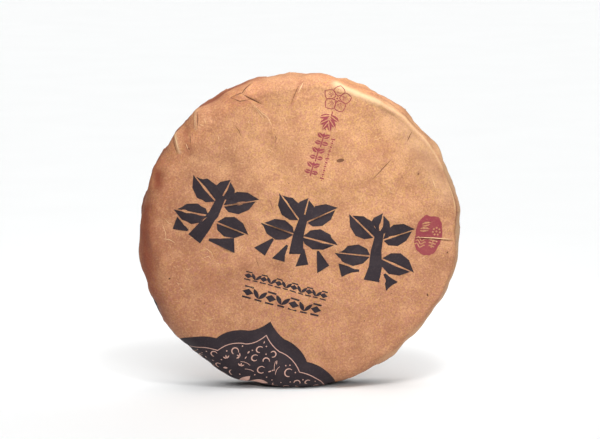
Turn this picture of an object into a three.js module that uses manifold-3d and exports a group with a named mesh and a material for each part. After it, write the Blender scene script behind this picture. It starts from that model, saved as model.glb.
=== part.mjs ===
// A round cake of pressed tea, wrapped in one sheet of soft kraft paper and standing on its edge.
// The sheet lies smooth over the printed face, bends round the shoulder and is gathered on the
// back in pleats, which swirl into a hollow where the last of it is pushed in as a small tuft.
// The pack is shut all round, so the whole of it is one solid with nothing modelled inside.
// Millimetres and degrees, +Z up. The disc's axis lies along Y and the printed face looks to -Y.

import * as THREE from 'three';
import { mergeVertices } from 'three/addons/utils/BufferGeometryUtils.js';
import Module from 'manifold-3d';

const wasm = await Module();
wasm.setup();

// The whole cake
const RADIUS = 52.1;
const THICKNESS = 20;
const CROWN = 1.2; // how far the middle of the printed face stands out beyond its edge
const REST_FLAT = 0.85; // how deep the lowest paper is pressed flat where the cake stands

// The front shoulder bends softly on one side and sharply on the other
const SHOULDER_DEPTH = 7;
const SHOULDER_WIDTH = 5.6;
const SHOULDER_SWING = 2.6;
const SOFTEST_AT = 200;

// The back edge, the hollow in the middle of the back and the tuft in it
const HEEL_DEPTH = 7;
const HEEL_WIDTH = 6;
const HOLLOW_RADIUS = 17;
const HOLLOW_DEPTH = 4.5;
const TUFT_RADIUS = 6.5;
const TUFT_HEIGHT = 3.6;

// The pleats: each starts with a steep step up and slopes down to the foot of the next
const PLEATS = 24;
const PLEAT_JITTER = 0.24; // share of a pleat's width
const PLEAT_UNEVENNESS = 0.35;
const RIM_PLEAT_HEIGHT = 0.4;
const BACK_PLEAT_HEIGHT = 0.75;
const PLEAT_PLACES = [0, 0.07, 0.3, 0.55, 0.78]; // where a pleat's points lie across it
const PLEAT_SWIRL = 42; // how far the pleats turn on their way to the middle of the back

// The outline is a little out of round: broad lobes and a few short corners and flats
const LOBES = [
  { count: 2, size: 0.6, at: 27 },
  { count: 3, size: 0.34, at: 3 },
  { count: 4, size: 0.19, at: 11 },
  { count: 5, size: 0.17, at: -8 },
];
const CORNERS = [
  { at: 31, size: 0.6, spread: 4 },
  { at: 52, size: 0.35, spread: 7 },
  { at: 146, size: -0.35, spread: 5 },
  { at: 211, size: 0.5, spread: 4 },
  { at: 246, size: 0.6, spread: 5 },
  { at: 318, size: -0.5, spread: 6 },
];

// Where the sheet is pinched up along the edge of the face, and where it is pushed in
const RIDGES = [
  { from: { at: 74, radius: 48.4 }, to: { at: 37, radius: 48.2 }, height: 0.5, width: 1.7 },
  { from: { at: 37, radius: 48.2 }, to: { at: 24, radius: 51.4 }, height: 0.4, width: 1.7 },
];
const DENTS = [
  { at: 22, radius: 48.5, depth: 0.7, width: 4.5 },
  { at: 165, radius: 47.5, depth: 0.7, width: 3 },
];

// How finely the solid is divided, zone by zone from the middle of the face to that of the back
const FACE_STEPS = 8;
const SHOULDER_STEPS = 5;
const WALL_STEPS = 2;
const HEEL_STEPS = 4;
const BACK_STEPS = 15;
const INNER_RING = 2.4; // radius of the ring next to the middle of the face and of the back

const QUARTER = Math.PI / 2;
const radians = (degrees) => (degrees * Math.PI) / 180;
const mix = (a, b, share) => a + (b - a) * share;
const smooth = (share) => {
  const t = Math.min(Math.max(share, 0), 1);
  return t * t * (3 - 2 * t);
};
const mound = (share) => (Math.abs(share) < 1 ? (1 + Math.cos(Math.PI * share)) / 2 : 0);
const turnBetween = (a, b) => ((((a - b) % 360) + 540) % 360) - 180;

// A fixed number between -1 and 1 for each pleat, so that no two are alike
const uneven = (number) => Math.sin(12.9898 * number + 4.1414 * number * number);

function outline(angle) {
  let extra = 0;
  for (const { count, size, at } of LOBES) {
    extra += size * Math.cos(radians(count * (angle - at)));
  }
  for (const { at, size, spread } of CORNERS) {
    extra += size * Math.exp(-((turnBetween(angle, at) / spread) ** 2));
  }
  return extra;
}

function shoulderWidth(angle) {
  return SHOULDER_WIDTH + SHOULDER_SWING * Math.cos(radians(angle - SOFTEST_AT));
}

// Relief of the printed face and shoulder, at a place on the flat sheet
function pinch(x, z) {
  let height = 0;
  for (const { from, to, height: rise, width } of RIDGES) {
    const start = flatPlace(from);
    const along = flatPlace(to).sub(start);
    const place = new THREE.Vector2(x, z).sub(start);
    const share = Math.min(Math.max(place.dot(along) / along.lengthSq(), 0), 1);
    const away = place.addScaledVector(along, -share).length();
    height = Math.max(height, rise * Math.exp(-((away / width) ** 2)));
  }
  for (const { depth, width, ...where } of DENTS) {
    const away = flatPlace(where).distanceTo(new THREE.Vector2(x, z));
    height -= depth * Math.exp(-((away / width) ** 2));
  }
  return height;
}

function flatPlace({ at, radius }) {
  return new THREE.Vector2(radius * Math.cos(radians(at)), radius * Math.sin(radians(at)));
}

// The section from the middle of the face to the middle of the back: the radius and the depth
// along Y of each point, and how much of the pleats' height shows there
function section(width) {
  const front = -THICKNESS / 2;
  const back = THICKNESS / 2;
  const faceRadius = RADIUS - width;
  const wallStart = front + CROWN + SHOULDER_DEPTH;
  const wallEnd = back - HEEL_DEPTH;
  const points = [{ radius: 0, depth: front, pleat: 0 }];
  for (let step = 0; step < FACE_STEPS; step++) {
    const radius = mix(INNER_RING, faceRadius, step / (FACE_STEPS - 1));
    const share = (radius / faceRadius) ** 2;
    points.push({ radius, depth: front + CROWN * smooth(share), pleat: 0 });
  }
  for (let step = 1; step <= SHOULDER_STEPS; step++) {
    const bend = (QUARTER * step) / SHOULDER_STEPS;
    points.push({
      radius: faceRadius + width * Math.sin(bend),
      depth: wallStart - SHOULDER_DEPTH * Math.cos(bend),
      pleat: RIM_PLEAT_HEIGHT * smooth((2 * step) / SHOULDER_STEPS - 1),
    });
  }
  for (let step = 1; step < WALL_STEPS; step++) {
    const depth = mix(wallStart, wallEnd, step / WALL_STEPS);
    points.push({ radius: RADIUS, depth, pleat: RIM_PLEAT_HEIGHT });
  }
  for (let step = 0; step <= HEEL_STEPS; step++) {
    const bend = (QUARTER * step) / HEEL_STEPS;
    points.push({
      radius: RADIUS - HEEL_WIDTH * (1 - Math.cos(bend)),
      depth: wallEnd + HEEL_DEPTH * Math.sin(bend),
      pleat: mix(RIM_PLEAT_HEIGHT, BACK_PLEAT_HEIGHT, step / HEEL_STEPS),
    });
  }
  for (let step = 1; step <= BACK_STEPS; step++) {
    const radius = mix(RADIUS - HEEL_WIDTH, INNER_RING, step / BACK_STEPS);
    points.push({ radius, depth: back - hollow(radius), pleat: BACK_PLEAT_HEIGHT });
  }
  points.push({ radius: 0, depth: back - hollow(0), pleat: 0 });
  return points;
}

function hollow(radius) {
  return HOLLOW_DEPTH * mound(radius / HOLLOW_RADIUS) - TUFT_HEIGHT * mound(radius / TUFT_RADIUS);
}

// The angle and the height, from 0 to 1, of one point of one pleat
function pleatPoint(index) {
  const pleat = Math.floor(index / PLEAT_PLACES.length) % PLEATS;
  const place = PLEAT_PLACES[index % PLEAT_PLACES.length];
  const edge = (number) => (number + PLEAT_JITTER * uneven(number % PLEATS)) * (360 / PLEATS);
  const tall = 1 + PLEAT_UNEVENNESS * uneven(pleat + PLEATS);
  const angle = mix(edge(pleat), edge(pleat + 1), place);
  return { angle, height: place > 0 ? tall * (1 - place) : 0 };
}

// One point of the sheet on the cake, from its point on the section and its place in its pleat
function sheetPoint(points, index, pleatHere) {
  const { radius, depth, pleat } = points[index];
  const before = points[Math.max(index - 1, 0)];
  const after = points[Math.min(index + 1, points.length - 1)];
  const across = new THREE.Vector2(after.depth - before.depth, before.radius - after.radius);
  const outward = across.normalize();
  const onBack = depth > 0 ? 1 - radius / RADIUS : 0;
  const angle = pleatHere.angle + PLEAT_SWIRL * onBack ** 2;
  const flatAngle = radians(angle);
  const front = depth < 0 ? pinch(radius * Math.cos(flatAngle), radius * Math.sin(flatAngle)) : 0;
  const lift = pleat * pleatHere.height + front;
  const reach = radius * (1 + outline(angle) / RADIUS) + lift * outward.x;
  return new THREE.Vector3(
    reach * Math.cos(flatAngle),
    depth + lift * outward.y,
    reach * Math.sin(flatAngle),
  );
}

// The lathe gives the rings and how they join, and each of its points is then put on the sheet
function wrappedCake() {
  const round = PLEATS * PLEAT_PLACES.length;
  const mean = section(SHOULDER_WIDTH).map(({ radius, depth }) => new THREE.Vector2(radius, depth));
  const geometry = new THREE.LatheGeometry(mean, round);
  const position = geometry.attributes.position;
  for (let slice = 0; slice <= round; slice++) {
    const pleatHere = pleatPoint(round - slice);
    const points = section(shoulderWidth(pleatHere.angle));
    for (let index = 0; index < points.length; index++) {
      const place = sheetPoint(points, index, pleatHere);
      position.setXYZ(slice * points.length + index, place.x, place.y, place.z);
    }
  }
  geometry.deleteAttribute('normal');
  geometry.deleteAttribute('uv');
  return mergeVertices(geometry);
}

function toManifold(geometry) {
  const source = geometry.index.array;
  const triangles = [];
  for (let corner = 0; corner < source.length; corner += 3) {
    const [a, b, c] = source.slice(corner, corner + 3);
    if (a !== b && b !== c && c !== a) triangles.push(a, b, c);
  }
  return new wasm.Manifold(new wasm.Mesh({
    numProp: 3,
    vertProperties: new Float32Array(geometry.attributes.position.array),
    triVerts: new Uint32Array(triangles),
  }));
}

function toGeometry(manifold) {
  const { vertProperties, triVerts } = manifold.getMesh();
  const geometry = new THREE.BufferGeometry();
  geometry.setAttribute('position', new THREE.BufferAttribute(vertProperties, 3));
  geometry.setIndex(new THREE.BufferAttribute(triVerts, 1));
  return geometry;
}

// Stands the cake on z = 0, centred on its own box, with the lowest paper pressed flat
function stood(geometry) {
  geometry.computeBoundingBox();
  const { min, max } = geometry.boundingBox;
  geometry.translate(-(min.x + max.x) / 2, -(min.y + max.y) / 2, -min.z - REST_FLAT);
  const ground = new THREE.BoxGeometry(2 * RADIUS, 2 * THICKNESS, THICKNESS);
  ground.translate(0, 0, -THICKNESS / 2);
  ground.deleteAttribute('normal');
  ground.deleteAttribute('uv');
  return toGeometry(toManifold(geometry).subtract(toManifold(mergeVertices(ground))));
}

const kraftPaper = new THREE.MeshStandardMaterial({ color: 0xcf976c, roughness: 0.85, metalness: 0 });

const cake = new THREE.Mesh(stood(wrappedCake()), kraftPaper);
cake.name = 'wrapped_tea_cake';

const group = new THREE.Group();
group.add(cake);

export default group;
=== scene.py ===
# %% [markdown]
# A small cake of pressed dark tea comes wrapped in one round sheet of soft kraft paper.
# The sheet is stretched over the printed face, bent round the shoulder, and gathered on the back
# in pleats that turn into a hollow in the middle. This lesson builds that sheet as a surface that
# is worked out from a few sizes in millimetres, lays the print on it, and lights it like a
# product photograph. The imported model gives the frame: the cake stands on its edge on the floor,
# its printed face looks to -Y, and Blender's units are metres.

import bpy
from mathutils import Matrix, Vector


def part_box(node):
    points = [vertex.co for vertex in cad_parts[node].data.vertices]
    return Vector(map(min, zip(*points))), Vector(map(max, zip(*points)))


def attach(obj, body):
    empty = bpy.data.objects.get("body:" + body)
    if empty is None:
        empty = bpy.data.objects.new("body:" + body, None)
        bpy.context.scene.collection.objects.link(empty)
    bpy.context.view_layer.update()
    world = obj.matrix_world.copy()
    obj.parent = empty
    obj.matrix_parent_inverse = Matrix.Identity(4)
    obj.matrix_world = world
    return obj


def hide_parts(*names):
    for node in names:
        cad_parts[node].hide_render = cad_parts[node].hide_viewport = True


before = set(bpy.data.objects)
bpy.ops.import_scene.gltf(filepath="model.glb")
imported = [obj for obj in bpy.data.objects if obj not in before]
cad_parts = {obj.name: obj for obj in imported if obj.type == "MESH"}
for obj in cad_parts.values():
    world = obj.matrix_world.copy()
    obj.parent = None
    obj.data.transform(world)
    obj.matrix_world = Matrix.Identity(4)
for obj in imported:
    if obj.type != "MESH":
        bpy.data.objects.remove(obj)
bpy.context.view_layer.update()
CAKE = "wrapped_tea_cake"

# %% Bring in Blender and numpy
import math

import bpy
import numpy as np
from mathutils import Vector
from mathutils.geometry import delaunay_2d_cdt

MM = 0.001
scene = bpy.context.scene

# %% [markdown]
# The camera comes first, because every later choice is judged through it. The photograph was
# taken with a long lens from a little above the table and a little to the left, so the top and
# the left of the rim show and the face is hardly foreshortened. A long lens is copied by standing
# far back with a narrow angle of view.

# %% Camera
CAMERA_TURN = -4.0  # degrees to the left of straight in front
CAMERA_RISE = 8.0  # degrees above the horizon
CAMERA_DISTANCE = 0.85  # metres
FRAME_WIDTH = 0.1975  # how much of the scene the picture's width takes in at the cake
SENSOR_WIDTH = 36.0
AIM = Vector((-0.00015, 0.0, 0.0554))


def direction(turn, rise):
    """From the cake towards something that stands at these angles."""
    turn, rise = math.radians(turn), math.radians(rise)
    return Vector((math.sin(turn) * math.cos(rise), -math.cos(turn) * math.cos(rise), math.sin(rise)))


camera = bpy.data.objects.new("camera", bpy.data.cameras.new("camera"))
scene.collection.objects.link(camera)
toward_camera = direction(CAMERA_TURN, CAMERA_RISE)
camera.location = AIM + CAMERA_DISTANCE * toward_camera
camera.rotation_euler = toward_camera.to_track_quat("Z", "Y").to_euler()
camera.data.sensor_width = SENSOR_WIDTH
camera.data.lens = SENSOR_WIDTH * CAMERA_DISTANCE / FRAME_WIDTH
camera.data.clip_end = 20
scene.camera = camera
print("lens", round(camera.data.lens), "mm at", CAMERA_DISTANCE, "m")

# %% [markdown]
# The wrapped cake is a turned shape, so its section is described once, from the middle of the
# face to the middle of the back: a slightly crowned face, a soft shoulder, a short wall, the back
# edge, and the back with its hollow and the little tuft of gathered paper. A number from 0 to 5
# says where on the section a point lies, one whole number for each of the five stretches. The
# sizes are those of the CAD model, so the two shapes agree.

# %% Sizes of the section
RADIUS = 52.1
THICKNESS = 20
CROWN = 1.2  # how far the middle of the face stands out beyond its edge
SHOULDER_DEPTH = 7
SHOULDER_WIDTH = 5.6
SHOULDER_SWING = 2.6  # how much wider the shoulder is where it is softest
SOFTEST_AT = 200  # degrees, counted from the right and upwards
HEEL_DEPTH = 7
HEEL_WIDTH = 6
HOLLOW_RADIUS = 17
HOLLOW_DEPTH = 4.5
TUFT_RADIUS = 6.5
TUFT_HEIGHT = 3.6
INNER_RING = 2.4  # the pleats die out within this distance of the back's middle

FRONT = -THICKNESS / 2
BACK = THICKNESS / 2
WALL_START = FRONT + CROWN + SHOULDER_DEPTH
WALL_END = BACK - HEEL_DEPTH


# %% The section
def mix(a, b, share):
    return a + (b - a) * share


def smooth(share):
    share = np.clip(share, 0, 1)
    return share * share * (3 - 2 * share)


def mound(share):
    return np.where(np.abs(share) < 1, (1 + np.cos(np.pi * share)) / 2, 0)


def hollow(radius):
    return HOLLOW_DEPTH * mound(radius / HOLLOW_RADIUS) - TUFT_HEIGHT * mound(radius / TUFT_RADIUS)


def shoulder_width(angle):
    return SHOULDER_WIDTH + SHOULDER_SWING * np.cos(np.radians(angle - SOFTEST_AT))


def section(along, width):
    """Radius and depth at a number from 0 to 5 along the section."""
    stretch = np.clip(np.floor(along), 0, 4).astype(int)
    share = along - stretch
    bend = share * np.pi / 2
    face = RADIUS - width
    radius = np.choose(stretch, [
        share * face,
        face + width * np.sin(bend),
        RADIUS + 0 * share,
        RADIUS - HEEL_WIDTH * (1 - np.cos(bend)),
        (RADIUS - HEEL_WIDTH) * (1 - share),
    ])
    depth = np.choose(stretch, [
        FRONT + CROWN * smooth(share**2),
        WALL_START - SHOULDER_DEPTH * np.cos(bend),
        mix(WALL_START, WALL_END, share),
        WALL_END + HEEL_DEPTH * np.sin(bend),
        BACK - hollow(radius),
    ])
    return radius, depth


print("face", round(RADIUS - SHOULDER_WIDTH, 1), "mm and rim", RADIUS, "mm from the middle")

# %% [markdown]
# A round sheet laid over a disc has too much paper at the rim, and the wrapper takes it up in
# pleats that all lap the same way. Each pleat is a steep step up and a long slope down to the foot
# of the next. Their widths and heights differ, by a fixed wave that gives each pleat its own
# number. At the rim they are pressed almost flat, and they rise over the back edge. The outline is
# a little out of round too, with broad lobes and a few corners.

# %% Pleats and outline
PLEATS = 24
PLEAT_JITTER = 0.24  # share of a pleat's width by which its edge may be off
PLEAT_UNEVENNESS = 0.35
PLEAT_STEP = 0.02  # share of a pleat's width that its steep side takes
RIM_PLEAT_HEIGHT = 0.14
BACK_PLEAT_HEIGHT = 0.75
PLEAT_SWIRL = 42  # how far the pleats turn on their way to the middle of the back
LOBES = [(2, 0.6, 27), (3, 0.34, 3), (4, 0.19, 11), (5, 0.17, -8)]  # count, size, angle
CORNERS = [  # angle, size, spread
    (31, 0.6, 4), (52, 0.35, 7), (146, -0.35, 5), (211, 0.5, 4), (246, 0.6, 5), (292, 0.5, 6),
    (306, 0.75, 7), (319, -0.6, 5), (338, 0.85, 12),
]


def uneven(number):
    return np.sin(12.9898 * number + 4.1414 * number * number)


def pleat_edge(number):
    return (number + PLEAT_JITTER * uneven(number % PLEATS)) * (360 / PLEATS)


def pleat_places(shares):
    """The angles and heights of points at these shares of every pleat's width."""
    pleats = np.arange(PLEATS)[:, None]
    angles = mix(pleat_edge(pleats), pleat_edge(pleats + 1), shares)
    tall = 1 + PLEAT_UNEVENNESS * uneven(pleats + PLEATS)
    heights = np.where(shares > 0, tall * (1 - shares), 0)
    return angles.ravel(), heights.ravel()


PLEAT_ANGLES, PLEAT_HEIGHTS = pleat_places(np.array([0, PLEAT_STEP, 0.25, 0.5, 0.75]))


def pleat_height(angle):
    return np.interp(angle % 360, PLEAT_ANGLES, PLEAT_HEIGHTS, period=360)


def outline(angle):
    """How much further out than its radius the rim lies."""
    extra = sum(size * np.cos(np.radians(count * (angle - at))) for count, size, at in LOBES)
    for at, size, spread in CORNERS:
        extra = extra + size * np.exp(-((((angle - at + 180) % 360 - 180) / spread) ** 2))
    return extra


narrowest = np.diff(pleat_edge(np.arange(PLEATS + 1))).min()
print(PLEATS, "pleats, from", round(float(narrowest), 1), "degrees wide")

# %% [markdown]
# The paper isn't smooth. Along the upper right it is pinched up into a ridge, one place at the left
# is pushed in, and thin folds run in from the rim. A fold is a tent over a line: paper that was
# bent sharply and let go keeps a straight crest with two flat slopes, which catch the light in
# different ways. A tent with one short side is a lap, where paper lies over paper. The ridge is
# softer, so it is a bell over a bent line.

# %% Ridges, dents and folds
RIDGES = [  # start, end, height, width
    ((12.6, 49.6), (23.4, 44.4), 0.60, 1.9),
    ((23.4, 44.4), (34.2, 38.6), 0.62, 1.6),
    ((34.2, 38.6), (39.0, 33.2), 0.34, 1.2),
    ((39.0, 33.2), (46.6, 21.2), 0.26, 1.0),
    ((46.6, 21.2), (50.6, 8.0), 0.18, 1.0),
]
DENTS = [  # place, depth, width
    ((-46.9, 18.8), 0.9, 2.8),
    ((40.0, 24.0), 0.45, 4.2),
    ((27.5, 39.0), 0.22, 4.5),
    ((-44.5, 3.0), 0.25, 3.5),
    ((-28.0, 22.0), 0.15, 6.0),
]
FOLDS = [  # start, end, height of the crest, reach to its left and to its right
    ((-19.4, 46.7), (-12.2, 42.5), -0.40, 0.6, 0.9),
    ((-23.2, 45.2), (-19.0, 46.9), 0.42, 0.6, 1.8),
    ((-19.2, 46.9), (-14.8, 52.6), 0.50, 2.4, 0.6),
    ((-23.4, 45.4), (-15.6, 44.6), -0.22, 0.6, 0.6),
    ((-17.0, 44.2), (-10.6, 38.4), 0.42, 0.7, 1.3),
    ((-10.9, 38.8), (-8.2, 30.6), 0.32, 0.7, 1.1),
    ((0.6, 53.0), (-3.9, 41.6), -0.34, 1.3, 0.8),
    ((2.4, 52.6), (-1.6, 43.0), 0.18, 0.9, 1.8),
    ((-22.0, 36.6), (-19.0, 31.8), -0.12, 0.6, 0.6),
    ((-43.2, 36.4), (-39.6, 26.8), 0.50, 2.4, 0.9),
    ((-37.4, 35.2), (-36.0, 24.4), -0.30, 1.8, 1.3),
    ((-35.0, 43.0), (-34.2, 34.0), 0.34, 1.7, 0.7),
    ((-29.8, 43.4), (-28.6, 36.6), -0.16, 1.4, 1.4),
    ((26.4, 47.8), (35.2, 40.4), -0.34, 1.0, 1.0),
    ((17.0, 52.4), (27.0, 47.4), -0.22, 0.9, 0.9),
    ((36.2, 33.8), (34.4, 29.6), -0.14, 0.7, 0.7),
    ((42.1, 18.4), (43.8, 13.2), 0.20, 0.7, 0.6),
    ((35.6, -1.2), (50.8, -2.2), 0.18, 0.6, 0.5),
    ((-45.6, -0.4), (-40.2, -2.8), 0.14, 0.6, 0.6),
    ((-50.6, 9.0), (-47.4, -7.0), 0.26, 1.4, 1.0),
    ((-51.4, 2.0), (-49.0, -13.0), -0.22, 1.2, 1.2),
    ((-46.0, -20.0), (-42.5, -27.0), -0.20, 1.6, 1.3),
    ((-48.8, -22.0), (-44.0, -30.0), 0.22, 1.2, 0.9),
    ((49.6, -12.0), (43.4, -26.0), 0.16, 1.4, 1.2),
]


def polar(angle, radius):
    return radius * np.cos(np.radians(angle)), radius * np.sin(np.radians(angle))


def beside(x, z, start, end):
    """How far along a line a point is, as a share, and how far to its left."""
    run = np.subtract(end, start)
    along = ((x - start[0]) * run[0] + (z - start[1]) * run[1]) / (run @ run)
    left = (run[0] * (z - start[1]) - run[1] * (x - start[0])) / np.hypot(*run)
    return along, left


def away(x, z, start, end):
    """The distance from a stretch of line."""
    share = np.clip(beside(x, z, start, end)[0], 0, 1)
    return np.hypot(x - mix(start[0], end[0], share), z - mix(start[1], end[1], share))


def pinch(x, z):
    height = np.zeros_like(x)
    for start, end, rise, width in RIDGES:
        height = np.maximum(height, rise * np.exp(-((away(x, z, start, end) / width) ** 2)))
    for (px, pz), depth, width in DENTS:
        height = height - depth * np.exp(-(((x - px) ** 2 + (z - pz) ** 2) / width**2))
    return height


def folds(x, z):
    height = np.zeros_like(x)
    for start, end, crest, reach_left, reach_right in FOLDS:
        along, left = beside(x, z, start, end)
        tent = np.clip(1 - np.where(left > 0, left / reach_left, -left / reach_right), 0, 1)
        ends = smooth(along / 0.2) * smooth((1 - along) / 0.2)
        height = height + crest * tent * ends
    return height


print(len(RIDGES), "stretches of ridge,", len(DENTS), "dents and", len(FOLDS), "folds")

# %% [markdown]
# Pressed leaves under the sheet make it swell and sink by a tenth of a millimetre or two, and the
# pleats on the back have fine creases that run along them. Both are sums of a few waves whose
# directions and phases come from a seeded draw, so the same paper comes out every time. A few
# low tents are scattered over the face too, where the sheet was crumpled and smoothed out again.

# %% Soft swells
SWELLS = 30
SWELL_HEIGHT = 0.068
CRUMPLES = 26
CRUMPLE_HEIGHT = 0.15
CRUMPLE_SLOPE = 3.2  # how far a crumple's sides run
draw = np.random.default_rng(7)
swell_angle = draw.uniform(0, 2 * np.pi, SWELLS)
swell_length = draw.uniform(4, 22, SWELLS)
swell_phase = draw.uniform(0, 2 * np.pi, SWELLS)
crumple_angle = draw.uniform(0, 2 * np.pi, CRUMPLES)
crumple_place = draw.uniform(-38, 38, (CRUMPLES, 2))
crumple_reach = draw.uniform(5, 11, CRUMPLES)
CREASE_WAVES = [(57, 0.05, 1.3), (91, 0.035, 4.1), (131, 0.025, 0.4)]  # count, height, phase


def swells(x, z):
    height = np.zeros_like(x)
    for turn, length, phase in zip(swell_angle, swell_length, swell_phase):
        travel = (x * np.cos(turn) + z * np.sin(turn)) / length
        height = height + SWELL_HEIGHT * (length / 12) * np.sin(2 * np.pi * travel + phase)
    for turn, (px, pz), reach in zip(crumple_angle, crumple_place, crumple_reach):
        across = (x - px) * np.cos(turn) + (z - pz) * np.sin(turn)
        far = np.hypot(x - px, z - pz) / reach
        tent = np.clip(1 - np.abs(across) / CRUMPLE_SLOPE, 0, 1)
        height = height + CRUMPLE_HEIGHT * tent * np.exp(-(far**2))
    return height


def fine_creases(angle, along):
    """Creases along the pleats, in waves that drift as they run towards the middle."""
    height = np.zeros_like(angle)
    for count, size, phase in CREASE_WAVES:
        drift = phase + 1.7 * np.sin(3 * along + phase)
        height = height + size * np.sin(np.radians(count * angle) + drift)
    return height * smooth((along - 1.6) / 1.2)


print(SWELLS, "swells,", CRUMPLES, "crumples and", len(CREASE_WAVES), "waves of creases")

# %% [markdown]
# Now the sheet itself. A place on it is an angle round the cake and a number along the section.
# The function finds the plain turned shape, the direction that points straight out of it, and
# lifts the point by everything above. It works on whole arrays at once, because the mesh has tens
# of thousands of points and the print is laid on the paper with the same function.

# %% The sheet
NUDGE = 0.004  # how far apart along the section two points are taken to find the slope
SUNK = 0.62  # how far the face and the back are drawn in, to leave room for the swells


def pleat_share(along):
    """How much of the pleats' height shows at a place along the section."""
    rim = RIM_PLEAT_HEIGHT * smooth(2 * (along - 1) - 1)
    heel = mix(RIM_PLEAT_HEIGHT, BACK_PLEAT_HEIGHT, smooth(along - 3))
    middle = (RADIUS - HEEL_WIDTH) * (5 - along) / INNER_RING
    return np.where(along < 3, rim, heel) * np.where(along > 4, smooth(middle), 1)


def flat_radius(along, angle):
    """How far from the middle of the face a place is, measured over the paper."""
    width = shoulder_width(angle)
    lengths = stretch_lengths(width)
    return sum(length * np.clip(along - i, 0, 1) for i, length in enumerate(lengths))


def stretch_lengths(width):
    quarter = np.pi / 2
    shoulder = quarter * np.sqrt((width**2 + SHOULDER_DEPTH**2) / 2)
    heel = quarter * math.sqrt((HEEL_WIDTH**2 + HEEL_DEPTH**2) / 2)
    return [RADIUS - width, shoulder, WALL_END - WALL_START, heel, RADIUS - HEEL_WIDTH]


def sheet(along, angle, lift=0.0):
    """Points of the paper, in millimetres from the middle of the cake."""
    width = shoulder_width(angle)
    radius, depth = section(along, width)
    before = section(np.clip(along - NUDGE, 0, 5), width)
    after = section(np.clip(along + NUDGE, 0, 5), width)
    out_radial, out_deep = after[1] - before[1], before[0] - after[0]
    length = np.hypot(out_radial, out_deep)
    flat = flat_radius(along, angle)
    x, z = polar(angle, flat)
    on_front = smooth((3 - along) / 0.8)
    relief = pleat_share(along) * pleat_height(angle) + fine_creases(angle, along)
    relief = relief + on_front * (pinch(x, z) + folds(x, z)) + swells(x, z) * smooth(5 - along)
    relief = relief - SUNK * smooth((np.abs(along - 2.5) - 1.2) / 0.6)
    reach = radius * (1 + outline(angle) / RADIUS) + (relief + lift) * out_radial / length
    swirl = PLEAT_SWIRL * np.where(depth > 0, 1 - radius / RADIUS, 0) ** 2
    px, pz = polar(angle + swirl, reach)
    return np.stack([px, depth + (relief + lift) * out_deep / length, pz], axis=-1)


print("over the paper the middles are", round(float(flat_radius(5.0, 0.0))), "mm apart")

# %% [markdown]
# The mesh is a grid on that surface: rings along the section, and in each ring the same points of
# every pleat, with two of them at the steep step so that the fold's edge stays crisp. The middle of
# the face and of the back are closed by a fan. Every ring has the same number of points, so the
# faces are found by counting.

# %% Rings of the paper
PLEAT_POINTS = 27
FACE_OUTER_SHARE = 0.72  # from here outwards the face has folds, so its rings are closer
shares = np.concatenate([[0, PLEAT_STEP], np.linspace(PLEAT_STEP, 1, PLEAT_POINTS)[1:-1]])
ring_angles = pleat_places(shares)[0]
stretches = [  # from, to and number of rings
    (0.012, FACE_OUTER_SHARE, 28),
    (FACE_OUTER_SHARE, 1, 32),
    (1, 2, 23),
    (2, 3, 6),
    (3, 4, 13),
    (4, 4.985, 44),
]
ring_places = [np.linspace(start, end, rings, endpoint=False) for start, end, rings in stretches]
ring_places = np.append(np.concatenate(ring_places), stretches[-1][1])
grid_along, grid_angle = np.meshgrid(ring_places, ring_angles, indexing="ij")
rings, around = grid_along.shape
print(rings, "rings of", around, "points")


# %% Helpers that make meshes
def new_piece(name, points, faces):
    """A smooth-shaded mesh object, from points in millimetres in the row frame."""
    mesh = bpy.data.meshes.new(name)
    mesh.from_pydata((np.asarray(points) * MM).tolist(), [], [list(map(int, f)) for f in faces])
    mesh.validate()
    mesh.polygons.foreach_set("use_smooth", [True] * len(mesh.polygons))
    piece = bpy.data.objects.new(name, mesh)
    scene.collection.objects.link(piece)
    return piece


def ring_faces(rings, around):
    ring, step = np.meshgrid(np.arange(rings - 1), np.arange(around), indexing="ij")
    here = ring * around + step
    after = ring * around + (step + 1) % around
    quads = np.stack([here, after, after + around, here + around], axis=-1).reshape(-1, 4)
    return quads.tolist()


# %% [markdown]
# The cake stands on its edge, so the lowest paper is pressed flat by its weight. The whole sheet
# is moved so that its box has the same middle as the CAD cake's, sunk by the depth of that flat
# spot, and whatever would be under the floor is laid on it. The paper there stops a hair above the
# floor, so that the print on it has room.

# %% The wrap
REST_FLAT = 0.85
INK_LIFT = 0.05
box_low, box_high = (np.array(corner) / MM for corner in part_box(CAKE))
raw = sheet(grid_along, grid_angle).reshape(-1, 3)
shift = (box_low + box_high) / 2 - (raw.min(axis=0) + raw.max(axis=0)) / 2
shift[2] = -raw[:, 2].min() - REST_FLAT


def stand(points, floor=0.0):
    """Moves points of the sheet to where the cake stands, none lower than the floor."""
    points = points + shift
    points[..., 2] = np.maximum(points[..., 2], floor)
    return points


caps = sheet(np.array([0.0, 5.0]), np.array([0.0, 0.0]))
wrap_points = stand(np.concatenate([raw, caps]), INK_LIFT)
front_cap, back_cap = len(raw), len(raw) + 1
wrap_faces = ring_faces(rings, around)
wrap_faces += [[front_cap, (i + 1) % around, i] for i in range(around)]
last = (rings - 1) * around
wrap_faces += [[back_cap, last + i, last + (i + 1) % around] for i in range(around)]
wrap = new_piece("kraft_paper_wrap", wrap_points, wrap_faces)
print("the wrap has", len(wrap_faces), "faces")
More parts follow.
